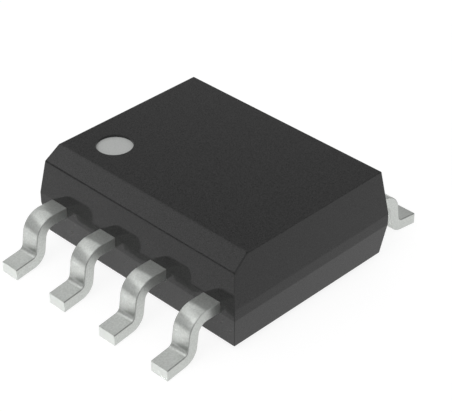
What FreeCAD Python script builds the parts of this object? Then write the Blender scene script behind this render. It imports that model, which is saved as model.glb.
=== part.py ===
# Small outline chip package with eight gull-wing leads, in millimetres.
# Origin: on the seating plane under the middle of the moulding. +Z is up, the
# leads stand out along X and each row of four runs along Y.
import FreeCAD, Part
import Sketcher
import math
import os

os.makedirs("parts", exist_ok=True)

doc = FreeCAD.newDocument("ChipPackage")

# Driving sizes, each written once
SIZES = [
    # Moulding
    ("body_wide", 3.845, "moulding across X at the parting band"),
    ("body_long", 4.86, "moulding along Y at the parting band"),
    ("package_height", 1.845, "seating plane to the top face"),
    ("standoff", 0.121, "seating plane to the underside of the moulding"),
    ("draft_angle", 7.8, "release taper of every wall, degrees"),
    ("bevel_run", 0.29, "bevel along the top face, on the side of lead 1"),
    ("bevel_drop", 0.23, "bevel down the wall, on the side of lead 1"),
    # Mark beside lead 1
    ("mark_radius", 0.334, "round recess that shows lead 1"),
    ("mark_from_side", 1.074, "mark centre in from the side of leads 1 to 4"),
    ("mark_from_end", 0.843, "mark centre in from the end beside lead 1"),
    ("mark_recess", 0.064, "depth of the recess"),
    ("mark_fill", 0.015, "thickness of the pale disc on its floor"),
    # Lead frame outside the moulding
    ("pitch", 1.27, "lead to lead along a row"),
    ("lead_wide", 0.393, "width of a lead"),
    ("lead_thick", 0.216, "thickness of the lead frame"),
    ("lead_top", 0.958, "seating plane to the top of the lead frame"),
    ("lead_span", 6.238, "toe to toe across the package"),
    ("shoulder_run", 0.29, "straight shoulder from the wall to the first bend"),
    ("shoulder_bend", 0.197, "inside radius of the first bend"),
    ("foot_bend", 0.107, "inside radius of the second bend"),
    ("leg_lean", 8.3, "lean of the leg away from upright, degrees"),
    ("foot_tilt", 8.0, "slope of the foot down to its toe, degrees"),
    # Lead frame inside the moulding
    ("frame_gap", 0.2, "gap between the paddle and the lead tips"),
    ("tab_long", 0.34, "bonding tab along the lead"),
    ("tab_side", 0.33, "bonding tab to each side of the lead's middle"),
    ("tab_reach", 0.22, "how far the end leads' tabs are set towards the middle"),
    ("paddle_wide", 2.2, "die paddle across X"),
    ("paddle_long", 3.0, "die paddle along Y"),
    ("paddle_corner", 0.25, "corner cut of the paddle"),
    ("paddle_drop", 0.2, "down-set of the paddle below the lead frame"),
    ("tie_wide", 0.5, "width of the tie bars"),
    ("tie_slope", 0.2, "length over which a tie bar steps down"),
    ("tie_flat", 0.22, "level end of a tie bar"),
    # Die and its adhesive
    ("die_wide", 1.5, "die across X"),
    ("die_long", 1.9, "die along Y"),
    ("die_thick", 0.28, "die thickness"),
    ("attach_thick", 0.03, "adhesive under the die"),
    ("attach_rim", 0.08, "adhesive past the die all round"),
    # Bond wires
    ("wire_radius", 0.025, "bond wire radius"),
    ("ball_radius", 0.05, "ball bond radius"),
    ("ball_high", 0.04, "ball bond height"),
    ("pad_inset", 0.12, "bond pad centre in from the die's edge"),
    ("pad_pitch", 0.48, "bond pad to bond pad along the die"),
    ("loop_rise", 0.32, "top corner of the loop above the die"),
    ("loop_bend", 0.09, "radius of the loop's bend"),
    ("stitch_dip", 0.05, "length of wire squashed into the lead"),
]

sheet = doc.addObject("Spreadsheet::Sheet", "Sizes")
for row, (alias, number, note) in enumerate(SIZES, start=1):
    sheet.set(f"A{row}", note)
    sheet.set(f"B{row}", str(number))
    sheet.setAlias(f"B{row}", alias)
doc.recompute()

# Places that several pieces share, written in terms of the sizes
WALL = "(Sizes.body_wide / 2)"
END = "(Sizes.body_long / 2)"
FRAME_LOW = "(Sizes.lead_top - Sizes.lead_thick)"
BEND_X = f"({WALL} + Sizes.shoulder_run)"
TIP_X = "(Sizes.paddle_wide / 2 + Sizes.frame_gap)"
STITCH_X = f"({TIP_X} + Sizes.tab_long / 2)"
PADDLE_TOP = "(Sizes.lead_top - Sizes.paddle_drop)"
DIE_LOW = f"({PADDLE_TOP} + Sizes.attach_thick)"
DIE_TOP = f"({DIE_LOW} + Sizes.die_thick)"
PAD_X = "(Sizes.die_wide / 2 - Sizes.pad_inset)"
PAD_RISE = f"({DIE_TOP} - Sizes.lead_top)"

# Number of flats round a wire too thin to need a true cylinder
WIRE_SIDES = 8

ORIGIN = (-1, 1)
START, FINISH, CENTRE = range(1, 4)


def measure(expression):
    """Number that a written expression gives with the present sizes."""
    return float(sheet.evalExpression(expression))


def make_body(label):
    """Empty body whose label names the piece."""
    body = doc.addObject("PartDesign::Body", label)
    body.Label = label
    return body


def make_sketch(body, name, role, lift=None):
    """Sketch on one of the body's own planes, raised along its normal."""
    sketch = body.newObject("Sketcher::SketchObject", name)
    plane = [item for item in body.Origin.OriginFeatures if item.Role == role][0]
    sketch.AttachmentSupport = [(plane, "")]
    sketch.MapMode = "FlatFace"
    if lift is not None:
        sketch.setExpression("AttachmentOffset.Base.z", lift)
    return sketch


def drive(sketch, name, expression, *where):
    """Dimension of a sketch, bound to the sizes."""
    kind, *points = where
    value = measure(expression)
    if kind in ("Angle", "InternalAngle"):
        value = math.radians(value)
    index = sketch.addConstraint(Sketcher.Constraint(kind, *points, value))
    sketch.renameConstraint(index, name)
    sketch.setExpression(f"Constraints.{name}", expression)


def draw_line(sketch, first, last):
    """Line between two rough points; the constraints place it."""
    line = Part.LineSegment(FreeCAD.Vector(*first, 0), FreeCAD.Vector(*last, 0))
    return sketch.addGeometry(line, False)


def draw_outline(sketch, points):
    """Closed chain of lines whose corners the expressions place."""
    rough = [(measure(x), measure(y)) for x, y in points]
    lines = [draw_line(sketch, a, b) for a, b in zip(rough, rough[1:] + rough[:1])]
    for line, following in zip(lines, lines[1:] + lines[:1]):
        joint = Sketcher.Constraint("Coincident", line, FINISH, following, START)
        sketch.addConstraint(joint)
    for number, (line, (x, y)) in enumerate(zip(lines, points), start=1):
        drive(sketch, f"across_{number}", x, "DistanceX", *ORIGIN, line, START)
        drive(sketch, f"along_{number}", y, "DistanceY", *ORIGIN, line, START)
    return lines


def draw_circle(sketch, x, y, radius):
    """Circle placed and sized by expressions."""
    centre = FreeCAD.Vector(measure(x), measure(y), 0)
    rough = Part.Circle(centre, FreeCAD.Vector(0, 0, 1), measure(radius))
    circle = sketch.addGeometry(rough, False)
    drive(sketch, "centre_across", x, "DistanceX", *ORIGIN, circle, CENTRE)
    drive(sketch, "centre_along", y, "DistanceY", *ORIGIN, circle, CENTRE)
    drive(sketch, "radius", radius, "Radius", circle)


def rectangle(low_x, high_x, low_y, high_y):
    """Corners of a rectangle from the expressions of its four sides."""
    return [(low_x, low_y), (high_x, low_y), (high_x, high_y), (low_x, high_y)]


def polygon(x, radius, sides):
    """Corners of a regular outline on the X axis, each at the same radius."""
    steps = [360 * (index + 0.5) / sides for index in range(sides)]
    return [(f"{x} + {radius} * cos({a})", f"{radius} * sin({a})") for a in steps]


def make_pad(body, name, sketch, length, both_ways=False, downwards=False, draft=None):
    """Pad of a sketch, tapered inwards where a draft is given."""
    pad = body.newObject("PartDesign::Pad", name)
    pad.Profile = sketch
    pad.setExpression("Length", length)
    pad.Midplane = both_ways
    pad.Reversed = downwards
    if draft is not None:
        pad.setExpression("TaperAngle", f"-{draft}")
    return pad


def make_pocket(body, name, sketch, depth=None, both_ways=False):
    """Pocket to a depth, or right through when no depth is given."""
    pocket = body.newObject("PartDesign::Pocket", name)
    pocket.Profile = sketch
    pocket.Midplane = both_ways
    if depth is None:
        pocket.Type = "ThroughAll"
    else:
        pocket.setExpression("Length", depth)
    return pocket


def draw_gull_wing(sketch):
    """Side view of a lead: shoulder, leg and foot joined by two bends.

    The strip keeps its thickness round both bends, so each pair of arcs shares
    a centre, and its toe is sheared off upright where it meets the board.
    """
    thick = measure("Sizes.lead_thick")
    lean = math.radians(measure("Sizes.leg_lean"))
    tilt = math.radians(measure("Sizes.foot_tilt"))
    top = measure("Sizes.lead_top")
    tip_x = measure(TIP_X)
    toe_x = measure("Sizes.lead_span") / 2
    inner_high = measure("Sizes.shoulder_bend")
    outer_high = inner_high + thick
    inner_low = measure("Sizes.foot_bend")
    outer_low = inner_low + thick
    high = FreeCAD.Vector(measure(BEND_X), top - outer_high, 0)
    leg_normal = FreeCAD.Vector(math.cos(lean), math.sin(lean), 0)
    foot_normal = FreeCAD.Vector(math.sin(tilt), math.cos(tilt), 0)
    toe = FreeCAD.Vector(toe_x, 0, 0)

    # The lower bend's centre lies one radius off both the leg and the foot
    leg_reach = high.dot(leg_normal) + outer_high + inner_low
    foot_reach = toe.dot(foot_normal) + outer_low
    turn = leg_normal.x * foot_normal.y - leg_normal.y * foot_normal.x
    low_x = (leg_reach * foot_normal.y - foot_reach * leg_normal.y) / turn
    low_y = (foot_reach * leg_normal.x - leg_reach * foot_normal.x) / turn
    low = FreeCAD.Vector(low_x, low_y, 0)

    up = FreeCAD.Vector(0, 1, 0)
    toe_top = FreeCAD.Vector(toe_x, thick / math.cos(tilt), 0)

    def add_line(first, last):
        return sketch.addGeometry(Part.LineSegment(first, last), False)

    def add_arc(centre, radius, first, last):
        circle = Part.Circle(centre, FreeCAD.Vector(0, 0, 1), radius)
        return sketch.addGeometry(Part.ArcOfCircle(circle, first, last), False)

    right = math.pi / 2
    back = math.pi
    top_line = add_line(FreeCAD.Vector(tip_x, top, 0), high + up * outer_high)
    top_arc = add_arc(high, outer_high, lean, right)
    leg_out = add_line(high + leg_normal * outer_high, low - leg_normal * inner_low)
    foot_arc = add_arc(low, inner_low, back + lean, 3 * right - tilt)
    foot_top = add_line(low - foot_normal * inner_low, toe_top)
    toe_face = add_line(toe_top, toe)
    sole = add_line(toe, low - foot_normal * outer_low)
    heel_arc = add_arc(low, outer_low, back + lean, 3 * right - tilt)
    leg_in = add_line(low - leg_normal * outer_low, high + leg_normal * inner_high)
    under_arc = add_arc(high, inner_high, lean, right)
    under_line = add_line(high + up * inner_high, FreeCAD.Vector(tip_x, top - thick, 0))
    tip_face = add_line(FreeCAD.Vector(tip_x, top - thick, 0), FreeCAD.Vector(tip_x, top, 0))

    smooth = [
        (top_line, FINISH, top_arc, FINISH),
        (top_arc, START, leg_out, START),
        (leg_out, FINISH, foot_arc, START),
        (foot_arc, FINISH, foot_top, START),
        (sole, FINISH, heel_arc, FINISH),
        (heel_arc, START, leg_in, START),
        (leg_in, FINISH, under_arc, START),
        (under_arc, FINISH, under_line, START),
    ]
    for ends in smooth:
        sketch.addConstraint(Sketcher.Constraint("Tangent", *ends))
    shared = [
        (foot_top, FINISH, toe_face, START),
        (toe_face, FINISH, sole, START),
        (under_line, FINISH, tip_face, START),
        (tip_face, FINISH, top_line, START),
        (top_arc, CENTRE, under_arc, CENTRE),
        (foot_arc, CENTRE, heel_arc, CENTRE),
    ]
    for ends in shared:
        sketch.addConstraint(Sketcher.Constraint("Coincident", *ends))
    for level in (top_line, under_line):
        sketch.addConstraint(Sketcher.Constraint("Horizontal", level))
    for upright in (toe_face, tip_face):
        sketch.addConstraint(Sketcher.Constraint("Vertical", upright))
    sketch.addConstraint(Sketcher.Constraint("Parallel", leg_out, leg_in))
    sketch.addConstraint(Sketcher.Constraint("Parallel", foot_top, sole))
    sketch.addConstraint(Sketcher.Constraint("PointOnObject", toe_face, FINISH, -1))
    drive(sketch, "top", "Sizes.lead_top", "DistanceY", *ORIGIN, top_line, START)
    drive(sketch, "tip", TIP_X, "DistanceX", *ORIGIN, top_line, START)
    drive(sketch, "thick", "Sizes.lead_thick", "DistanceY", tip_face, START, tip_face, FINISH)
    drive(sketch, "bend_place", BEND_X, "DistanceX", *ORIGIN, top_arc, CENTRE)
    drive(sketch, "bend_inside", "Sizes.shoulder_bend", "Radius", under_arc)
    drive(sketch, "foot_inside", "Sizes.foot_bend", "Radius", foot_arc)
    drive(sketch, "toe_place", "Sizes.lead_span / 2", "DistanceX", *ORIGIN, toe_face, FINISH)
    drive(sketch, "lean", "90 - Sizes.leg_lean", "Angle", -1, START, leg_in, START)
    drive(sketch, "tilt", "180 - Sizes.foot_tilt", "Angle", -1, START, sole, START)


def make_lead(label, row, turn):
    """Lead with its bonding tab. Row counts pitches along Y before the turn."""
    body = make_body(label)
    side = make_sketch(body, f"{label}_side", "XZ_Plane")
    draw_gull_wing(side)
    make_pad(body, f"{label}_strip", side, "Sizes.lead_wide", both_ways=True)
    plan = make_sketch(body, f"{label}_plan", "XY_Plane", FRAME_LOW)
    shift = tab_shift(row)
    tab = rectangle(
        TIP_X,
        f"{TIP_X} + Sizes.tab_long",
        f"{shift} - Sizes.tab_side",
        f"{shift} + Sizes.tab_side",
    )
    draw_outline(plan, tab)
    make_pad(body, f"{label}_tab", plan, "Sizes.lead_thick")
    body.Placement = FreeCAD.Placement(FreeCAD.Vector(), FreeCAD.Vector(0, 0, 1), turn)
    body.setExpression("Placement.Base.y", f"{facing(turn)} * {row} * Sizes.pitch")
    return body


def tab_shift(row):
    """Sideways offset of a bonding tab; only the end leads reach inwards."""
    if abs(row) < 1:
        return "0 * Sizes.tab_reach"
    return f"{-math.copysign(1, row):.0f} * Sizes.tab_reach"


def facing(turn):
    """Sign of X and Y after a turn of 0 or 180 degrees."""
    return 1 if turn == 0 else -1


def make_wire(label, row, turn):
    """Bond wire from a ball on the die, over its loop, to a stitch on a tab."""
    stitch_y = f"({row} * Sizes.pitch + {tab_shift(row)})"
    pad_y = f"({row} * Sizes.pad_pitch)"
    reach_x = f"({STITCH_X} - {PAD_X})"
    reach_y = f"({stitch_y} - {pad_y})"
    reach = f"sqrt(({reach_x}) ^ 2 + ({reach_y}) ^ 2)"
    corner_high = f"({PAD_RISE} + Sizes.loop_rise)"

    # Loop in an upright plane: X runs from the stitch back to the die
    body = make_body(label)
    path = make_sketch(body, f"{label}_path", "XZ_Plane")
    far = measure(reach)
    corner = measure(corner_high)
    slope = math.atan2(corner, far)
    bend = measure("Sizes.loop_bend")
    run_off = bend * math.tan((math.pi / 2 + slope) / 2)
    dip = measure("Sizes.stitch_dip")
    low_end = (-dip * math.cos(slope), -dip * math.sin(slope))
    bend_start = (far - run_off * math.cos(slope), corner - run_off * math.sin(slope))
    span = draw_line(path, low_end, bend_start)
    rise = draw_line(path, (far, corner - run_off), (far, measure(PAD_RISE)))
    middle = FreeCAD.Vector(far - bend, corner - run_off, 0)
    circle = Part.Circle(middle, FreeCAD.Vector(0, 0, 1), bend)
    arc = path.addGeometry(Part.ArcOfCircle(circle, 0, math.pi / 2 + slope), False)
    peak = path.addGeometry(Part.Point(FreeCAD.Vector(far, corner, 0)), True)
    path.addConstraint(Sketcher.Constraint("Tangent", span, FINISH, arc, FINISH))
    path.addConstraint(Sketcher.Constraint("Tangent", arc, START, rise, START))
    path.addConstraint(Sketcher.Constraint("Vertical", rise))
    path.addConstraint(Sketcher.Constraint("PointOnObject", *ORIGIN, span))
    path.addConstraint(Sketcher.Constraint("PointOnObject", peak, START, span))
    path.addConstraint(Sketcher.Constraint("PointOnObject", peak, START, rise))
    drive(path, "peak_high", corner_high, "DistanceY", *ORIGIN, peak, START)
    drive(path, "bend", "Sizes.loop_bend", "Radius", arc)
    drive(path, "reach", reach, "DistanceX", *ORIGIN, rise, FINISH)
    drive(path, "pad_high", PAD_RISE, "DistanceY", *ORIGIN, rise, FINISH)
    drive(path, "dip", "Sizes.stitch_dip", "Distance", span, START, *ORIGIN)

    section = make_sketch(body, f"{label}_section", "XY_Plane", PAD_RISE)
    draw_outline(section, polygon(reach, "Sizes.wire_radius", WIRE_SIDES))
    doc.recompute()
    pipe = body.newObject("PartDesign::AdditivePipe", f"{label}_loop")
    pipe.Profile = section
    pipe.Spine = path
    ball = make_sketch(body, f"{label}_ball", "XY_Plane", PAD_RISE)
    draw_circle(ball, reach, "0 * Sizes.ball_radius", "Sizes.ball_radius")
    make_pad(body, f"{label}_bond", ball, "Sizes.ball_high")

    # The stitch is pressed flat on the tab, so nothing stays below its face
    foot = make_sketch(body, f"{label}_foot", "XY_Plane")
    size = "(Sizes.stitch_dip + 2 * Sizes.wire_radius)"
    draw_outline(foot, rectangle(f"-3 * {size}", f"{size}", f"-{size}", f"{size}"))
    doc.recompute()
    make_pocket(body, f"{label}_flat", foot)

    sign = facing(turn)
    body.Placement = FreeCAD.Placement(FreeCAD.Vector(), FreeCAD.Vector(0, 0, 1), 1)
    body.setExpression("Placement.Base.x", f"{sign} * {STITCH_X}")
    body.setExpression("Placement.Base.y", f"{sign} * {stitch_y}")
    body.setExpression("Placement.Base.z", "Sizes.lead_top")
    heading = f"atan({reach_y} / {reach_x}) + {180 - turn} deg"
    body.setExpression("Placement.Rotation.Angle", heading)
    return body


# Moulding outside: a straight parting band as high as the lead frame, and
# tapered halves above and below it
form = make_body("mould_form")
band = make_sketch(form, "band_plan", "XY_Plane", FRAME_LOW)
plan = rectangle(f"-{WALL}", WALL, f"-{END}", END)
draw_outline(band, plan)
make_pad(form, "parting_band", band, "Sizes.lead_thick")
cope = make_sketch(form, "upper_plan", "XY_Plane", "Sizes.lead_top")
draw_outline(cope, plan)
upper_high = "(Sizes.package_height - Sizes.lead_top)"
make_pad(form, "upper_half", cope, upper_high, draft="Sizes.draft_angle")
drag = make_sketch(form, "lower_plan", "XY_Plane", FRAME_LOW)
draw_outline(drag, plan)
lower_high = f"({FRAME_LOW} - Sizes.standoff)"
make_pad(form, "lower_half", drag, lower_high, downwards=True, draft="Sizes.draft_angle")
doc.recompute()
blank_volume = form.Shape.Volume

# Bevel along the top edge on the side of lead 1
bevel = make_sketch(form, "bevel_side", "XZ_Plane")
top_edge = f"({WALL} - tan(Sizes.draft_angle) * {upper_high})"
low_edge = f"({top_edge} + tan(Sizes.draft_angle) * Sizes.bevel_drop)"
draw_outline(bevel, [
    (f"-({top_edge} - Sizes.bevel_run)", "Sizes.package_height"),
    (f"-{low_edge}", "Sizes.package_height - Sizes.bevel_drop"),
    (f"-({low_edge} + Sizes.bevel_run)", "Sizes.package_height - Sizes.bevel_drop"),
    (f"-({low_edge} + Sizes.bevel_run)", "Sizes.package_height + Sizes.bevel_drop"),
    (f"-({top_edge} - Sizes.bevel_run)", "Sizes.package_height + Sizes.bevel_drop"),
])
doc.recompute()
make_pocket(form, "bevel", bevel, "2 * Sizes.body_long", both_ways=True)
doc.recompute()
bevelled_volume = form.Shape.Volume

# Round recess beside lead 1, and the pale disc on its floor
mark_x = f"(Sizes.mark_from_side - {WALL})"
mark_y = f"({END} - Sizes.mark_from_end)"
dimple = make_sketch(form, "mark_plan", "XY_Plane", "Sizes.package_height")
draw_circle(dimple, mark_x, mark_y, "Sizes.mark_radius")
doc.recompute()
make_pocket(form, "mark_recess", dimple, "Sizes.mark_recess")
doc.recompute()

mark = doc.addObject("Part::Cylinder", "pin_one_mark")
mark.Label = "pin_one_mark"
mark.setExpression("Radius", "Sizes.mark_radius")
mark.setExpression("Height", "Sizes.mark_fill")
mark.setExpression("Placement.Base.x", mark_x)
mark.setExpression("Placement.Base.y", mark_y)
mark.setExpression("Placement.Base.z", "Sizes.package_height - Sizes.mark_recess")

# Die paddle: plate set down below the lead frame, with a tie bar at each end
paddle = make_body("die_paddle")
plate_plan = make_sketch(paddle, "plate_plan", "XY_Plane", f"{PADDLE_TOP} - Sizes.lead_thick")
half_wide = "Sizes.paddle_wide / 2"
half_long = "Sizes.paddle_long / 2"
cut_wide = f"({half_wide} - Sizes.paddle_corner)"
cut_long = f"({half_long} - Sizes.paddle_corner)"
draw_outline(plate_plan, [
    (f"-{cut_wide}", f"-{half_long}"),
    (cut_wide, f"-{half_long}"),
    (half_wide, f"-{cut_long}"),
    (half_wide, cut_long),
    (cut_wide, half_long),
    (f"-{cut_wide}", half_long),
    (f"-{half_wide}", cut_long),
    (f"-{half_wide}", f"-{cut_long}"),
])
make_pad(paddle, "plate", plate_plan, "Sizes.lead_thick")
step = f"({half_long} + Sizes.tie_slope)"
far_end = f"({step} + Sizes.tie_flat)"
tie_side = make_sketch(paddle, "tie_side", "YZ_Plane")
upper_side = [
    (f"-{far_end}", "Sizes.lead_top"),
    (f"-{step}", "Sizes.lead_top"),
    (f"-{half_long}", PADDLE_TOP),
    (half_long, PADDLE_TOP),
    (step, "Sizes.lead_top"),
    (far_end, "Sizes.lead_top"),
]
under_side = [(y, f"{z} - Sizes.lead_thick") for y, z in reversed(upper_side)]
draw_outline(tie_side, upper_side + under_side)
make_pad(paddle, "tie_bars", tie_side, "Sizes.tie_wide", both_ways=True)


def make_block(label, wide, long, high, low):
    """Flat block centred on the Z axis."""
    block = doc.addObject("Part::Box", label)
    block.Label = label
    block.setExpression("Length", wide)
    block.setExpression("Width", long)
    block.setExpression("Height", high)
    block.setExpression("Placement.Base.x", f"-({wide}) / 2")
    block.setExpression("Placement.Base.y", f"-({long}) / 2")
    block.setExpression("Placement.Base.z", low)
    return block


glue = make_block(
    "die_attach",
    "Sizes.die_wide + 2 * Sizes.attach_rim",
    "Sizes.die_long + 2 * Sizes.attach_rim",
    "Sizes.attach_thick",
    PADDLE_TOP,
)
die = make_block("silicon_die", "Sizes.die_wide", "Sizes.die_long", "Sizes.die_thick", DIE_LOW)

# Leads 1 to 4 down the bevelled side and 5 to 8 back up the other, each with its wire
ROWS = (-1.5, -0.5, 0.5, 1.5)
leads = []
wires = []
for turn, first in ((180, 1), (0, 5)):
    for number, row in enumerate(ROWS, start=first):
        leads.append(make_lead(f"lead_{number}", row, turn))
        wires.append(make_wire(f"bond_wire_{number}", row, turn))
doc.recompute()

# The moulding closes round everything that it holds, face to face
core = doc.addObject("Part::MultiFuse", "moulded_in")
core.Shapes = leads + wires + [paddle, glue, die]
mould = doc.addObject("Part::Cut", "mould_body")
mould.Label = "mould_body"
mould.Base = form
mould.Tool = core
doc.recompute()

# Every object has to be sound before anything is written
pieces = [mould, mark, paddle, glue, die] + leads + wires
for item in doc.Objects:
    if "Invalid" in item.State or "Error" in item.State:
        raise RuntimeError(f"{item.Label} did not build: {item.State}")
for item in doc.Objects:
    if item.TypeId == "Sketcher::SketchObject" and not item.FullyConstrained:
        raise RuntimeError(f"{item.Label} is not fully constrained")
for piece in pieces:
    if piece.Shape.isNull() or not piece.Shape.isValid():
        raise RuntimeError(f"{piece.Label} has no sound shape")
    if len(piece.Shape.Solids) != 1:
        raise RuntimeError(f"{piece.Label} has {len(piece.Shape.Solids)} solids")
if not form.Shape.Volume < bevelled_volume < blank_volume:
    raise RuntimeError("the bevel or the recess cut nothing")

for piece in pieces:
    box = piece.Shape.BoundBox
    print(
        f"{piece.Label}: {piece.Shape.Volume:.5f} mm3,"
        f" X {box.XMin:.3f} to {box.XMax:.3f},"
        f" Y {box.YMin:.3f} to {box.YMax:.3f},"
        f" Z {box.ZMin:.3f} to {box.ZMax:.3f}"
    )
    piece.Shape.exportStep(f"parts/{piece.Label}.step")
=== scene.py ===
# Looks of a small outline chip package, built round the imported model
import math

import bpy
import numpy as np
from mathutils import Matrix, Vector


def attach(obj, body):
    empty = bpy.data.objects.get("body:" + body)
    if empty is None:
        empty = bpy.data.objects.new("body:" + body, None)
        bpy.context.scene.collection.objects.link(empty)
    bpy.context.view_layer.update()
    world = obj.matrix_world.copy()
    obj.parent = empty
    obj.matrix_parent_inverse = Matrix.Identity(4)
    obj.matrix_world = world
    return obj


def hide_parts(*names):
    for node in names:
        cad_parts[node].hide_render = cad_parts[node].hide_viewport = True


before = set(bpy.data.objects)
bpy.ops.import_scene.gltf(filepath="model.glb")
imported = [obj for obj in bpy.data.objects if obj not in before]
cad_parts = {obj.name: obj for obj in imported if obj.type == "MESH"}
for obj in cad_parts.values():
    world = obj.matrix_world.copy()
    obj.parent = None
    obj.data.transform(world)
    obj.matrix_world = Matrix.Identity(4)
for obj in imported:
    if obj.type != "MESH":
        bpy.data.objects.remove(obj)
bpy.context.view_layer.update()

mm = 0.001  # shapes are worked out in millimetres and stored in metres
print("frame loaded")


# Shapes shared by the pieces

def closedMesh(name, rows, smoothFaces, lineAndShadeFaces, endPaintedLight=0.0):
    # A closed skin over a grid: point (row, column) is joined to (row, column + 1) and (row + 1, column),
    # columns close on themselves, and a fan to the middle closes the first and the last row.
    # rows holds (row, column, xyz) in millimetres, with columns anticlockwise seen from the last row's end.
    # The materials read two face values: one for each grid face, for dark lines and painted shade, and
    # one on the last fan, a painted highlight that makes that end face lighter.
    rowCount, columnCount, _ = rows.shape
    points = np.vstack([rows.reshape(-1, 3), rows[0].mean(axis=0), rows[-1].mean(axis=0)]) * mm
    here = np.arange(columnCount)
    following = (here + 1) % columnCount
    step = (np.arange(rowCount - 1) * columnCount)[:, None]
    nextStep = step + columnCount
    quads = np.stack([step + here, step + following, nextStep + following, nextStep + here], axis=-1)
    quads = quads.reshape(-1, 4)
    lastRow = (rowCount - 1) * columnCount
    firstMiddle = rowCount * columnCount
    lastMiddle = firstMiddle + 1
    firstFan = np.stack([following, here, np.full(columnCount, firstMiddle)], axis=-1)
    lastFan = np.stack([lastRow + here, lastRow + following, np.full(columnCount, lastMiddle)], axis=-1)
    mesh = bpy.data.meshes.new(name)
    mesh.from_pydata(points.tolist(), [], quads.tolist() + firstFan.tolist() + lastFan.tolist())
    smooth = np.zeros(len(mesh.polygons), dtype=bool)
    smooth[: len(quads)] = smoothFaces.reshape(-1)
    mesh.polygons.foreach_set("use_smooth", smooth)
    lineAndShade = np.zeros(len(mesh.polygons), dtype=np.float32)
    lineAndShade[: len(quads)] = lineAndShadeFaces.reshape(-1)
    # painted highlight: the last fan's faces are painted lighter
    cut = np.zeros(len(mesh.polygons), dtype=np.float32)
    cut[-columnCount:] = endPaintedLight
    for label, values in (("lineAndShade", lineAndShade), ("endPaintedLight", cut)):
        mesh.attributes.new(label, "FLOAT", "FACE").data.foreach_set("value", values)
    piece = bpy.data.objects.new(name, mesh)
    bpy.context.scene.collection.objects.link(piece)
    return piece


def arcAngles(first, last, degreesPerStep):
    # angles from first to last in even steps of about the given size
    count = max(2, int(round(abs(last - first) / math.radians(degreesPerStep))))
    return np.linspace(first, last, count + 1)


def roundCorner(before, corner, after, radius, steps):
    # Arc that touches both straight runs of a corner. It starts and ends radius x tan(turn / 2) from
    # the corner, and its points are middle + (a sin((1 - s) turn) + b sin(s turn)) / sin(turn),
    # where a and b run from the middle to the two ends and s goes from 0 to 1.
    towardsBefore = (before - corner) / np.linalg.norm(before - corner)
    towardsAfter = (after - corner) / np.linalg.norm(after - corner)
    turn = math.pi - math.acos(float(np.clip(towardsBefore @ towardsAfter, -1, 1)))
    inwards = towardsBefore + towardsAfter
    middle = corner + inwards / np.linalg.norm(inwards) * radius / math.cos(turn / 2)
    cut = radius * math.tan(turn / 2)
    a = corner + cut * towardsBefore - middle
    b = corner + cut * towardsAfter - middle
    s = np.linspace(0, 1, steps + 1)[:, None]
    return middle + (a * np.sin((1 - s) * turn) + b * np.sin(s * turn)) / math.sin(turn)


# Moulding

moulding = {
    "wide": 3.845,  # across the leads at the parting band, millimetres
    "long": 4.86,  # along the rows at the parting band
    "bottom": 0.121,
    "bandLow": 0.742,
    "bandHigh": 0.958,
    "top": 1.845,
    "draft": 7.8,  # degrees
    "bevelRun": 0.29,
    "bevelDrop": 0.23,
    "edgeRadius": 0.05,  # both edges of the bevel
    "topRadius": 0.018,  # top face on the other three sides
    "underRadius": 0.012,  # under face
    "cornerRadius": 0.012,  # upright corners
    "cornerStrip": 0.003,  # width of the narrow faces beside a corner, as a share of the side
    "bandRadius": 0.15,  # the slight turns at both sides of the parting band
    "edgeSteps": 8,  # faces round an edge or an upright corner
    "bandSteps": 2,  # faces round each slight turn
    "sideSteps": 40,  # faces along each straight side
    "underRing": 0.6,  # how far the under face runs in before its fan starts
    "topRings": (0.25, 0.5, 0.75),  # rings of the top face, as shares of the way to the recess
    "markCentre": (-0.8485, 1.587),
    "markRadius": 0.334,
    "markDepth": 0.064,
    "markEdge": 0.004,  # radius of the recess's rim
    "markEdgeMiddle": 0.3,  # half way round the rim, both in and down, as a share of its radius
    "bevelLine": 1.0,  # strength of the dark lines along the two short ends of the bevel,
    "besideLine": 0.4,  # beside them on the package's ends,
    "topLineAndShade": 0.25,  # and along the top edges of those ends, partly painted shade over a reflected highlight
}


def wallProfile(bevelled):
    # One side of the moulding as arcs of points (half width, height), from the under face to the top face:
    # out with the draft to the parting band, up along it, in with the draft, and over the bevel if any.
    # A run with the draft changes the half width by tan(draft) x its height.
    part = moulding
    slope = math.tan(math.radians(part["draft"]))
    halfWide = part["wide"] / 2
    bottomHalf = halfWide - slope * (part["bandLow"] - part["bottom"])
    topHalf = halfWide - slope * (part["top"] - part["bandHigh"])
    topRadius = part["topRadius"]
    corners = [
        (bottomHalf, part["bottom"], part["underRadius"], part["edgeSteps"]),
        (halfWide, part["bandLow"], part["bandRadius"], part["bandSteps"]),
        (halfWide, part["bandHigh"], part["bandRadius"], part["bandSteps"]),
    ]
    if bevelled:
        bevelHeight = part["top"] - part["bevelDrop"]
        bevelHalf = halfWide - slope * (bevelHeight - part["bandHigh"])
        corners.append((bevelHalf, bevelHeight, part["edgeRadius"], part["edgeSteps"]))
        topHalf -= part["bevelRun"]
        topRadius = part["edgeRadius"]
    corners.append((topHalf, part["top"], topRadius, part["edgeSteps"]))
    underRun = (bottomHalf - 1, part["bottom"])  # a point further in, on the level face
    topRun = (topHalf - 1, part["top"])
    path = np.array([underRun] + [corner[:2] for corner in corners] + [topRun])
    return [
        roundCorner(path[i], path[i + 1], path[i + 2], radius, steps)
        for i, (_, _, radius, steps) in enumerate(corners)
    ]


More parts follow.
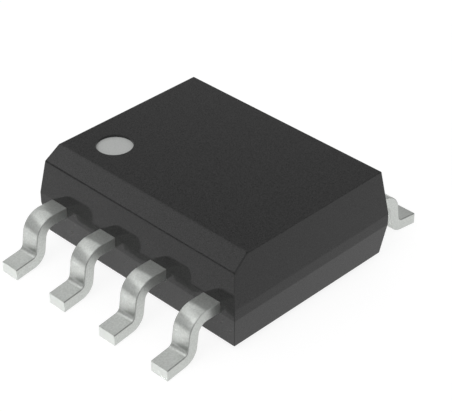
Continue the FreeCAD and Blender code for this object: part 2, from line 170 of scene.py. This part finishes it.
def mouldWalls(bevelPath, plainPath):
    # Rings at rising heights, each a rectangle with quarter circle corners, whose half widths come from
    # the wall profiles at that height. Columns run anticlockwise from the +X, -Y corner: the corner's arc,
    # middle + radius x (cos, sin), then the straight run, arc end + share x (next arc's start - arc end).
    part = moulding
    heights = np.concatenate([bevelPath[:, 1], plainPath[:, 1]])
    heights = np.unique(np.round(heights, 7))  # heights that only differ by rounding are one ring
    minusX = np.interp(heights, bevelPath[:, 1], bevelPath[:, 0])
    plusX = np.interp(heights, plainPath[:, 1], plainPath[:, 0])
    halfY = plusX + (part["long"] - part["wide"]) / 2
    inner = part["underRing"]
    heights = np.concatenate([heights[:1], heights])
    minusX = np.concatenate([minusX[:1] - inner, minusX])
    plusX = np.concatenate([plusX[:1] - inner, plusX])
    halfY = np.concatenate([halfY[:1] - inner, halfY])
    radius = part["cornerRadius"]
    turn = np.linspace(0, math.pi / 2, part["edgeSteps"] + 1)
    strip = part["cornerStrip"]
    along = np.concatenate([[strip], np.linspace(0, 1, part["sideSteps"] + 1)[1:-1], [1 - strip]])
    quarter = np.arange(4)[:, None]
    arc = turn + math.pi / 2 * (quarter - 1)
    cornerX = np.stack([plusX, plusX, -minusX, -minusX], axis=1) + radius * np.array([-1, -1, 1, 1])
    cornerY = np.stack([-halfY, halfY, halfY, -halfY], axis=1) + radius * np.array([1, -1, -1, 1])
    arcX = cornerX[:, :, None] + radius * np.cos(arc)
    arcY = cornerY[:, :, None] + radius * np.sin(arc)
    nextX = np.roll(arcX[:, :, 0], -1, axis=1)
    nextY = np.roll(arcY[:, :, 0], -1, axis=1)
    runX = arcX[:, :, -1:] + along * (nextX - arcX[:, :, -1])[:, :, None]
    runY = arcY[:, :, -1:] + along * (nextY - arcY[:, :, -1])[:, :, None]
    wallX = np.concatenate([arcX, runX], axis=2).reshape(len(heights), -1)
    wallY = np.concatenate([arcY, runY], axis=2).reshape(len(heights), -1)
    return np.stack([wallX, wallY, np.broadcast_to(heights[:, None], wallX.shape)], axis=-1)


def mouldTop(outer):
    # Top face and recess in rings, from the outline of the top face inwards. Each column keeps its bearing
    # from the recess's middle: outline + share x (rim - outline) over the top face, then middle + reach x
    # (cos bearing, sin bearing) round the rim, down the upright wall and half way in over the floor.
    part = moulding
    centre = np.array(part["markCentre"])
    bearing = np.arctan2(outer[:, 1] - centre[1], outer[:, 0] - centre[0])
    spoke = np.column_stack([np.cos(bearing), np.sin(bearing)])
    top = part["top"]
    floor = top - part["markDepth"]
    rim = part["markRadius"]
    soft = part["markEdge"]
    middle = soft * part["markEdgeMiddle"]
    share = np.array(part["topRings"])[:, None, None]
    reach = np.array([rim + soft, rim + middle, rim, rim, rim / 2])[:, None, None]
    level = np.array([top] * len(share) + [top, top - middle, top - soft, floor, floor])
    across = outer + share * (centre + rim * spoke - outer)
    inside = centre + reach * spoke
    flat = np.concatenate([across, inside])
    return np.concatenate([flat, np.broadcast_to(level[:, None, None], flat.shape[:2] + (1,))], axis=-1)


def mouldShading(heights, rowCount, columnCount, bevelArcs, plainArcs):
    # Rounded faces are shaded smooth: those of the corner arcs, and the heights inside an arc of the
    # profile. The dark lines follow the bevel's short ends and the top edges of the package's ends; along
    # the top edges they are partly painted shade that dims a reflected highlight.
    part = moulding
    wallFaces = len(heights) - 1
    middleHeight = (heights[1:] + heights[:-1]) / 2
    perSide = columnCount // 4
    side = np.arange(columnCount) // perSide  # 0 to 3 for the +X, +Y, -X and -Y sides
    place = np.arange(columnCount) % perSide
    inArc = place < part["edgeSteps"]
    smooth = np.zeros((rowCount - 1, columnCount), dtype=bool)
    smooth[1:wallFaces, inArc] = True
    for arcs, sides in ((bevelArcs, side == 2), (plainArcs, side != 2)):
        for curve in arcs:
            within = (middleHeight > curve[0, 1]) & (middleHeight < curve[-1, 1])
            smooth[:wallFaces] |= within[:, None] & sides

    onBevel = (middleHeight > bevelArcs[-2][0, 1]) & (middleHeight < bevelArcs[-1][-1, 1])
    onTopEdge = middleHeight > (plainArcs[-1][0, 1] + part["top"]) / 2
    onEnds = (side == 1) | (side == 3)
    besideStart = place == part["edgeSteps"]
    besideEnd = place == perSide - 1
    bevelCorner = inArc & ((side == 2) | (side == 3))
    bevelBeside = (side == 2) & (besideStart | besideEnd)
    endBeside = ((side == 3) & besideStart) | ((side == 1) & besideEnd)
    strength = [part["bevelLine"], part["besideLine"]]
    bevelLine = np.select([bevelBeside | bevelCorner, endBeside], strength, 0.0) * onBevel[:, None]
    lineAndShade = np.zeros((rowCount - 1, columnCount))
    # the top edges' value is partly painted shade over the highlight their rounding reflects
    lineAndShade[:wallFaces] = np.maximum(bevelLine, part["topLineAndShade"] * (onTopEdge[:, None] & onEnds))
    return smooth, lineAndShade


def makeMoulding():
    # the walls from the under face up, then the top face and the recess
    bevelArcs = wallProfile(True)
    plainArcs = wallProfile(False)
    walls = mouldWalls(np.vstack(bevelArcs), np.vstack(plainArcs))
    rows = np.concatenate([walls, mouldTop(walls[-1][:, :2])])
    heights = walls[:, 0, 2]
    smooth, lineAndShade = mouldShading(heights, rows.shape[0], rows.shape[1], bevelArcs, plainArcs)
    return closedMesh("moulding", rows, smooth, lineAndShade)


# Leads

lead = {
    "wide": 0.393,
    "thick": 0.216,
    "top": 0.958,
    "toe": 3.119,  # from the middle of the package to the toe
    "shoulderEnd": 1.9,  # last point of the level shoulder before its bend
    "firstBend": 2.2125,  # middle of the package to the centre of the first bend
    "firstRadius": 0.197,  # inside radii
    "secondRadius": 0.107,
    "lean": 8.3,  # degrees of the leg from upright and of the foot from level
    "tilt": 8.0,
    "pitch": 1.27,
    "rowPlaces": (-1.5, -0.5, 0.5, 1.5),  # in pitches from the middle of a row
    "tip": 1.3,  # from the middle of the package to the bonding tab's end
    "tabLong": 0.34,
    "tabSide": 0.33,  # half the tab's width
    "tabReach": 0.22,  # how far an end lead's tab is set towards the middle of the row
    "tabStep": 0.001,  # length in which the tab narrows to the strip
    "edgeRadius": 0.015,
    "edgeSteps": 4,  # faces round each long edge
    "bendStep": 1.0,  # degrees
    "legSteps": 8,  # faces along the straight leg and along the foot
    "footSteps": 6,
    "toeChamfer": 0.006,
    "lineStart": 85,  # degrees of the outer face, where the dark line along its edges starts and is full
    "lineFull": 50,
    "foldPaintedShade": 0.9,  # painted shade on the outer face, most in the crease where the leg meets the lower bend
    "foldAbove": 0.09,  # distance up the leg at which half of it is left
    "foldBelow": 0.04,  # the same along the lower bend
    "toePaintedShade": 0.2,  # painted shade on the foot, strongest at the toe, rising from none at the bend
}


def leadPath():
    # Middle line of the strip in its upright plane, with its outward normals: level, an arc down to the
    # leg's lean, the straight leg, and an arc of the other hand out to the foot's tilt. Each arc is its
    # centre + radius x (cos, sin), and the lower centre lies secondRadius off the outer face of both the
    # leg and the foot. The row numbers returned are where the upper bend, leg and lower bend start.
    part = lead
    lean = math.radians(part["lean"])
    tilt = math.radians(part["tilt"])
    half = part["thick"] / 2
    high = np.array([part["firstBend"], part["top"] - part["thick"] - part["firstRadius"]])
    legNormal = np.array([math.cos(lean), math.sin(lean)])
    footNormal = np.array([math.sin(tilt), math.cos(tilt)])
    toe = np.array([part["toe"], 0.0])
    reach = [
        high @ legNormal + part["firstRadius"] + part["thick"] + part["secondRadius"],
        toe @ footNormal + part["thick"] + part["secondRadius"],
    ]
    low = np.linalg.solve(np.array([legNormal, footNormal]), reach)
    firstTurn = arcAngles(math.pi / 2, lean, part["bendStep"])
    secondTurn = arcAngles(math.pi + lean, 1.5 * math.pi - tilt, part["bendStep"])
    firstNormals = np.column_stack([np.cos(firstTurn), np.sin(firstTurn)])
    secondNormals = -np.column_stack([np.cos(secondTurn), np.sin(secondTurn)])
    firstArc = high + (part["firstRadius"] + half) * firstNormals
    secondArc = low - (part["secondRadius"] + half) * secondNormals
    tabEnd = part["tip"] + part["tabLong"]
    shoulderX = np.array([part["tip"], tabEnd - part["tabStep"], tabEnd, part["shoulderEnd"]])
    shoulder = np.column_stack([shoulderX, np.full(len(shoulderX), part["top"] - half)])
    legShare = np.linspace(0, 1, part["legSteps"] + 1)[1:-1, None]
    leg = firstArc[-1] + legShare * (secondArc[0] - firstArc[-1])
    levelNormals = np.tile([0.0, 1.0], (len(shoulder), 1))
    legNormals = np.tile(legNormal, (len(leg), 1))
    points = np.vstack([shoulder, firstArc, leg, secondArc])
    normals = np.vstack([levelNormals, firstNormals, legNormals, secondNormals])
    legStart = len(shoulder) + len(firstArc) - 1
    return points, normals, footNormal, (len(shoulder), legStart, legStart + part["legSteps"])


def leadRings(points, normals, row):
    # The strip's section, a rectangle with quarter circle corners, carried along the middle line:
    # point = middle line + across x (0, 1, 0) + through x normal. The first two rings are the bonding
    # tab, which is wider, and set towards the middle of the row on the end leads.
    part = lead
    half = part["thick"] / 2
    halfWide = part["wide"] / 2
    inwards = 0.0 if abs(row) < 1 else -math.copysign(part["tabReach"], row)
    low = np.full(len(points), -halfWide)
    high = np.full(len(points), halfWide)
    low[:2] = min(inwards - part["tabSide"], -halfWide)
    high[:2] = max(inwards + part["tabSide"], halfWide)
    radius = part["edgeRadius"]
    steps = part["edgeSteps"]
    turn = np.linspace(0, math.pi / 2, steps + 1)
    quarter = np.arange(4)[:, None]
    angle = (turn + math.pi / 2 * (quarter - 1)).reshape(-1)
    acrossSign = np.repeat([1, 1, -1, -1], steps + 1)
    throughSign = np.repeat([-1, 1, 1, -1], steps + 1)
    edge = np.where(acrossSign > 0, high[:, None] - radius, low[:, None] + radius)
    across = edge + radius * np.cos(angle)
    through = throughSign * (half - radius) + radius * np.sin(angle)
    x = points[:, 0:1] + through * normals[:, 0:1]
    z = points[:, 1:2] + through * normals[:, 1:2]
    return np.stack([x, across, z], axis=-1)


def leadFoot(ring, footNormal):
    # The bend's last ring slides along the foot in even steps to the upright toe face, and one more ring,
    # shrunk towards the middle, closes it with a small chamfer: point = ring + slide x foot direction.
    part = lead
    x, y, z = ring.T
    along = np.array([footNormal[1], -footNormal[0]])
    chamfer = part["toeChamfer"]
    share = np.linspace(0, 1, part["footSteps"] + 1)[1:, None]
    slide = np.vstack([share * (part["toe"] - chamfer - x), part["toe"] - x]) / along[0]
    shrink = np.append(np.zeros(part["footSteps"]), chamfer)[:, None]
    endX = x + slide * along[0]
    endZ = z + slide * along[1]
    middleZ = endZ.mean(axis=1, keepdims=True)
    endZ = middleZ + (endZ - middleZ) * (1 - shrink / (part["thick"] / 2))
    endY = y * (1 - shrink / (part["wide"] / 2))
    return np.stack([endX, endY, endZ], axis=-1)


def leadShading(points, normals, starts, columnCount):
    # The two broad faces are shaded smooth round the bends. The dark line runs along the outer face's
    # edges, from where that face turns down. Painted shade darkens the outer face in the crease at the
    # fold, by its strength / (1 + (distance from the fold / width)^2), and painted shade rises evenly
    # along the foot towards the toe.
    part = lead
    bendStart, legStart, fold = starts
    bends = np.ones(len(points) - 1, dtype=bool)
    bends[:bendStart] = False
    bends[legStart:fold] = False  # the straight leg between the bends
    fall = np.degrees(np.arctan2(normals[:-1, 1], normals[:-1, 0]))
    edgeLine = np.clip((part["lineStart"] - fall) / (part["lineStart"] - part["lineFull"]), 0, 1)
    edgeLine[legStart + 1 :] = 1.0
    outer = points + part["thick"] / 2 * normals
    travel = np.concatenate([[0.0], np.cumsum(np.linalg.norm(np.diff(outer, axis=0), axis=1))])
    fromFold = (travel[1:] + travel[:-1]) / 2 - travel[fold]
    width = np.where(fromFold < 0, part["foldAbove"], part["foldBelow"])
    # painted shade, darkest in the crease where the leg meets the lower bend
    paintedShade = part["foldPaintedShade"] / (1 + (fromFold / width) ** 2)
    paintedShade[:legStart] = 0.0

    footRows = part["footSteps"] + 1  # the last of them is the chamfer
    # painted shade along the foot, darker towards the toe
    footPaintedShade = part["toePaintedShade"] * np.linspace(0, 1, footRows)[1:]
    rowBends = np.concatenate([bends, np.zeros(footRows, dtype=bool)])
    rowLine = np.concatenate([edgeLine, np.ones(footRows)])
    rowPaintedShade = np.concatenate([paintedShade, footPaintedShade, [0.0]])
    steps = part["edgeSteps"]
    column = np.arange(columnCount)
    outerFace = column == 2 * steps + 1
    innerFace = column == 4 * steps + 3
    outerEdge = (column > steps) & (column <= 3 * steps + 1) & ~outerFace
    smooth = rowBends[:, None] & (outerFace | innerFace)
    lineAndShade = rowLine[:, None] * outerEdge + rowPaintedShade[:, None] * outerFace
    return smooth, lineAndShade


def makeLead(name, row, side):
    # row is the place in pitches from the middle of the row, side is 1 for +X and -1 for -X
    points, normals, footNormal, starts = leadPath()
    rings = leadRings(points, normals, row)
    rows = np.concatenate([rings, leadFoot(rings[-1], footNormal)])
    rows[..., 1] += row * lead["pitch"]
    if side < 0:
        rows[..., :2] *= -1  # the other row is this one turned half round
    smooth, lineAndShade = leadShading(points, normals, starts, rows.shape[1])
    # the toe face gets a painted highlight, painted lighter than the rest of the strip
    return closedMesh(name, rows, smooth, lineAndShade, endPaintedLight=1.0)


# Materials

def maths(nodes, links, operation, *terms):
    # one maths node, whose terms are sockets or plain numbers
    node = nodes.new("ShaderNodeMath")
    node.operation = operation
    for socket, term in zip(node.inputs, terms):
        if isinstance(term, (int, float)):
            socket.default_value = term
        else:
            links.new(term, socket)
    return node.outputs[0]


def tintFaces(nodes, links, colour, name, tint, share):
    # colour moved towards the tint by share x the piece's own attribute of that name
    attribute = nodes.new("ShaderNodeAttribute")
    attribute.attribute_name = name
    mix = nodes.new("ShaderNodeMix")
    mix.data_type = "RGBA"
    # a colour mix has its factor, colours and result in sockets 0, 6 and 7, and 2
    links.new(maths(nodes, links, "MULTIPLY", attribute.outputs["Fac"], share), mix.inputs[0])
    links.new(colour, mix.inputs[6])
    mix.inputs[7].default_value = (*tint, 1)
    return mix.outputs[2]


def makeMaterial(name, finish):
    # Fine noise in object coordinates runs the base colour from dark to light and raises the surface,
    # and each tint (attribute, colour, share) is laid over it.
    material = bpy.data.materials.new(name)
    material.use_nodes = True
    nodes = material.node_tree.nodes
    links = material.node_tree.links
    shader = nodes["Principled BSDF"]
    place = nodes.new("ShaderNodeTexCoord")
    noise = nodes.new("ShaderNodeTexNoise")
    noise.inputs["Scale"].default_value = finish["grainsPerMetre"]
    noise.inputs["Detail"].default_value = finish["grainDetail"]
    links.new(place.outputs["Object"], noise.inputs["Vector"])
    band = nodes.new("ShaderNodeValToRGB")
    stops = zip(band.color_ramp.elements, finish["grainBand"], (finish["dark"], finish["light"]))
    for stop, position, tone in stops:
        stop.position = position
        stop.color = (*tone, 1)
    links.new(noise.outputs["Fac"], band.inputs["Fac"])
    colour = band.outputs["Color"]
    for label, tint, share in finish["tints"]:
        colour = tintFaces(nodes, links, colour, label, tint, share)
    links.new(colour, shader.inputs["Base Color"])
    shader.inputs["Metallic"].default_value = finish["metallic"]
    shader.inputs["Specular IOR Level"].default_value = finish["specular"]
    shader.inputs["Roughness"].default_value = finish["roughness"]
    raised = nodes.new("ShaderNodeBump")
    raised.inputs["Strength"].default_value = finish["bumpStrength"]
    raised.inputs["Distance"].default_value = finish["bumpDistance"]
    links.new(noise.outputs["Fac"], raised.inputs["Height"])
    links.new(raised.outputs["Normal"], shader.inputs["Normal"])
    return material


def paint(item, material):
    item.data.materials.clear()
    item.data.materials.append(material)


compound = {
    "dark": (0.013, 0.013, 0.013),
    "light": (0.048, 0.048, 0.048),
    # face values darken the colour: dark edge lines, and painted shade along the top edges of the ends
    "tints": [("lineAndShade", (0.004, 0.004, 0.004), 0.8)],
    "metallic": 0.0,
    "specular": 0.27,
    "roughness": 0.065,
    "grainsPerMetre": 60000,
    "grainDetail": 3,
    "grainBand": (0.3, 0.7),  # noise at which the colour is all dark and all light
    "bumpStrength": 0.1,
    "bumpDistance": 0.000001,  # metres
}
plating = {
    "dark": (0.572, 0.592, 0.568),
    "light": (0.712, 0.734, 0.708),
    # the first tint darkens the dark edge lines and the painted shade, the second paints a highlight on the
    # toe face
    "tints": [("lineAndShade", (0.004, 0.004, 0.004), 0.42), ("endPaintedLight", (0.76, 0.785, 0.757), 0.8)],
    "metallic": 0.8,
    "specular": 0.0,
    "roughness": 0.33,
    "grainsPerMetre": 30000,
    "grainDetail": 3,
    "grainBand": (0.3, 0.7),
    "bumpStrength": 0.15,
    "bumpDistance": 0.000003,
}
# What the finishes of the mark and the inside pieces share
plain = {
    "tints": [],
    "specular": 0.5,
    "grainDetail": 2,
    "grainBand": (0.3, 0.7),
    "bumpStrength": 0.15,
    "bumpDistance": 0.000003,
}
paleFloor = {
    **plain,
    "dark": (0.46, 0.47, 0.46),
    "light": (0.53, 0.54, 0.53),
    "metallic": 0.0,
    "roughness": 0.7,
    "grainsPerMetre": 40000,
}
copperAlloy = {
    **plain,
    "dark": (0.62, 0.33, 0.20),
    "light": (0.72, 0.42, 0.28),
    "metallic": 1.0,
    "roughness": 0.4,
    "grainsPerMetre": 20000,
}
curedPaste = {
    **plain,
    "dark": (0.45, 0.45, 0.43),
    "light": (0.55, 0.55, 0.52),
    "metallic": 0.3,
    "roughness": 0.6,
    "grainsPerMetre": 50000,
}
siliconGrey = {
    **plain,
    "dark": (0.12, 0.13, 0.16),
    "light": (0.20, 0.21, 0.25),
    "metallic": 0.6,
    "roughness": 0.25,
    "grainsPerMetre": 9000,
}
goldWire = {
    **plain,
    "dark": (0.78, 0.56, 0.20),
    "light": (0.88, 0.68, 0.28),
    "metallic": 1.0,
    "roughness": 0.25,
    "grainsPerMetre": 30000,
}


# Making the pieces

mouldPiece = makeMoulding()
paint(mouldPiece, makeMaterial("mouldCompound", compound))
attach(mouldPiece, "root")
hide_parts("mould_body")
print("moulding made")

platingMaterial = makeMaterial("mattTinPlating", plating)
for side, first in ((-1, 1), (1, 5)):  # leads 1 to 4 stand on the -X side, 5 to 8 on the +X side
    for number, row in enumerate(lead["rowPlaces"], start=first):
        leadPiece = makeLead(f"leadStrip{number}", row, side)
        paint(leadPiece, platingMaterial)
        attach(leadPiece, "root")
        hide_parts(f"lead_{number}")
print("leads made")

nodeFinish = {
    "pin_one_mark": makeMaterial("paleFloor", paleFloor),
    "die_paddle": makeMaterial("copperAlloy", copperAlloy),
    "die_attach": makeMaterial("curedPaste", curedPaste),
    "silicon_die": makeMaterial("siliconGrey", siliconGrey),
}
goldMaterial = makeMaterial("goldWire", goldWire)
for number in range(1, 9):
    nodeFinish[f"bond_wire_{number}"] = goldMaterial
for label, material in nodeFinish.items():
    paint(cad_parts[label], material)
print("finishes set")


# Floor, light and camera

stage = {
    "floorSize": 0.6,  # metres
    "floorColour": (0.2, 0.2, 0.2),
    "floorLift": 0.87,  # glow that seen rays meet, so that the paper shows white
    "lampDistance": 0.05,  # where the suns stand, which their light doesn't depend on
    # Sky by degrees above the floor: brightness, extra towards -X, extra towards -Y
    "sky": (
        (0.0, 0.10, -0.10, 0.10),
        (20.0, 0.50, -0.06, -0.09),
        (37.5, 0.21, -0.13, 0.09),
        (40.5, 1.22, 0.5, -0.15),
        (55.0, 0.76, 0.5, 0.0),
        (90.0, 0.31, 0.0, 0.0),
    ),
}


def seenRays(nodes, links):
    # 1 for what the camera sees straight, in a reflection or through glass, 0 for light itself
    rays = nodes.new("ShaderNodeLightPath")
    straight = rays.outputs["Is Camera Ray"]
    seen = maths(nodes, links, "MAXIMUM", straight, rays.outputs["Is Glossy Ray"])
    return maths(nodes, links, "MAXIMUM", seen, rays.outputs["Is Transmission Ray"])


def makeFloor():
    half = stage["floorSize"] / 2
    mesh = bpy.data.meshes.new("studioFloor")
    corners = [(-half, -half, 0), (half, -half, 0), (half, half, 0), (-half, half, 0)]
    mesh.from_pydata(corners, [], [(0, 1, 2, 3)])
    floor = bpy.data.objects.new("studioFloor", mesh)
    bpy.context.scene.collection.objects.link(floor)
    material = bpy.data.materials.new("studioPaper")
    material.use_nodes = True
    nodes = material.node_tree.nodes
    links = material.node_tree.links
    nodes.clear()
    output = nodes.new("ShaderNodeOutputMaterial")
    diffuse = nodes.new("ShaderNodeBsdfDiffuse")
    diffuse.inputs["Color"].default_value = (*stage["floorColour"], 1)
    glow = nodes.new("ShaderNodeEmission")
    glow.inputs["Color"].default_value = (1, 1, 1, 1)
    lift = maths(nodes, links, "MULTIPLY", seenRays(nodes, links), stage["floorLift"])
    links.new(lift, glow.inputs["Strength"])
    both = nodes.new("ShaderNodeAddShader")
    links.new(diffuse.outputs[0], both.inputs[0])
    links.new(glow.outputs[0], both.inputs[1])
    links.new(both.outputs[0], output.inputs["Surface"])
    mesh.materials.append(material)
    floor.visible_shadow = False  # lamps set low reach the walls from under its level


def makeWorld():
    # Above the horizon every ray but the camera's sees the same soft studio, so that metal shows what
    # lights it: brightness = base - x * extraX - y * extraY, with all three taken from the height z of
    # the ray. Under the horizon it is white to what is seen and dark to light itself. The camera sees
    # it white above the horizon too.
    world = bpy.data.worlds.new("studio")
    bpy.context.scene.world = world
    world.use_nodes = True
    nodes = world.node_tree.nodes
    links = world.node_tree.links
    nodes.clear()
    output = nodes.new("ShaderNodeOutputWorld")
    above = nodes.new("ShaderNodeBackground")
    below = nodes.new("ShaderNodeBackground")
    place = nodes.new("ShaderNodeTexCoord")
    split = nodes.new("ShaderNodeSeparateXYZ")
    band = nodes.new("ShaderNodeValToRGB")
    links.new(place.outputs["Generated"], split.inputs[0])
    links.new(split.outputs["Z"], band.inputs["Fac"])
    noExtra = 0.5  # stands for an extra of 0, because a ramp holds nothing below 0
    stops = band.color_ramp.elements
    while len(stops) < len(stage["sky"]):
        stops.new(0.5)  # anywhere between the two ends
    for stop, (height, base, extraX, extraY) in zip(stops, stage["sky"]):
        stop.position = math.sin(math.radians(height))
        stop.color = (base, noExtra + extraX, noExtra + extraY, 1)
    parts = nodes.new("ShaderNodeSeparateColor")
    links.new(band.outputs["Color"], parts.inputs[0])
    total = parts.outputs["Red"]
    for axis, channel in (("X", "Green"), ("Y", "Blue")):
        extra = maths(nodes, links, "SUBTRACT", noExtra, parts.outputs[channel])
        total = maths(nodes, links, "MULTIPLY_ADD", extra, split.outputs[axis], total)
    links.new(total, above.inputs["Strength"])
    links.new(seenRays(nodes, links), below.inputs["Strength"])
    under = maths(nodes, links, "LESS_THAN", split.outputs["Z"], 0)
    rays = nodes.new("ShaderNodeLightPath")
    white = maths(nodes, links, "MAXIMUM", under, rays.outputs["Is Camera Ray"])
    mix = nodes.new("ShaderNodeMixShader")
    links.new(white, mix.inputs["Fac"])
    links.new(above.outputs[0], mix.inputs[1])
    links.new(below.outputs[0], mix.inputs[2])
    links.new(mix.outputs[0], output.inputs["Surface"])
    above.inputs["Color"].default_value = (1, 1, 1, 1)
    below.inputs["Color"].default_value = (1, 1, 1, 1)


# Each lamp: the direction it comes from, in degrees anticlockwise from +X and degrees above the floor,
# then its strength and its spread in degrees
lamps = {
    "leftLow": (135, -35, 0.12, 50),
    "leftSide": (180, 30, 0.42, 40),
    "leftHigh": (200, 55, 0.55, 50),
}


def makeLamps():
    for name, (bearing, height, strength, spread) in lamps.items():
        data = bpy.data.lights.new(name, "SUN")
        data.energy = strength
        data.angle = math.radians(spread)
        # A lamp under the floor is sampled directly only, because bounced rays stop at the floor
        data.cycles.use_multiple_importance_sampling = height > 0
        lamp = bpy.data.objects.new(name, data)
        bpy.context.scene.collection.objects.link(lamp)
        a = math.radians(bearing)
        e = math.radians(height)
        towards = Vector((math.cos(a) * math.cos(e), math.sin(a) * math.cos(e), math.sin(e)))
        lamp.location = towards * stage["lampDistance"]
        lamp.rotation_mode = "QUATERNION"
        lamp.rotation_quaternion = towards.to_track_quat("Z", "Y")


view = {
    "place": (-16.3906, -16.5658, 17.0300),  # millimetres
    "azimuth": -45.2734,
    "elevation": 34.7100,
    "lens": 127.732,
    "sensor": 36.0,
    "clipStart": 0.001,  # metres
    "clipEnd": 10.0,
}


def makeCamera():
    data = bpy.data.cameras.new("photoCamera")
    data.lens = view["lens"]
    data.sensor_width = view["sensor"]
    data.clip_start = view["clipStart"]
    data.clip_end = view["clipEnd"]
    camera = bpy.data.objects.new("photoCamera", data)
    bpy.context.scene.collection.objects.link(camera)
    a = math.radians(view["azimuth"])
    e = math.radians(view["elevation"])
    back = Vector((math.sin(a) * math.cos(e), -math.cos(a) * math.cos(e), math.sin(e)))
    camera.location = Vector(view["place"]) * mm
    camera.rotation_mode = "QUATERNION"
    camera.rotation_quaternion = (-back).to_track_quat("-Z", "Y")
    bpy.context.scene.camera = camera


makeFloor()
makeWorld()
makeLamps()
makeCamera()
bpy.context.scene.view_settings.view_transform = "Standard"
print("stage, lamps and camera set")
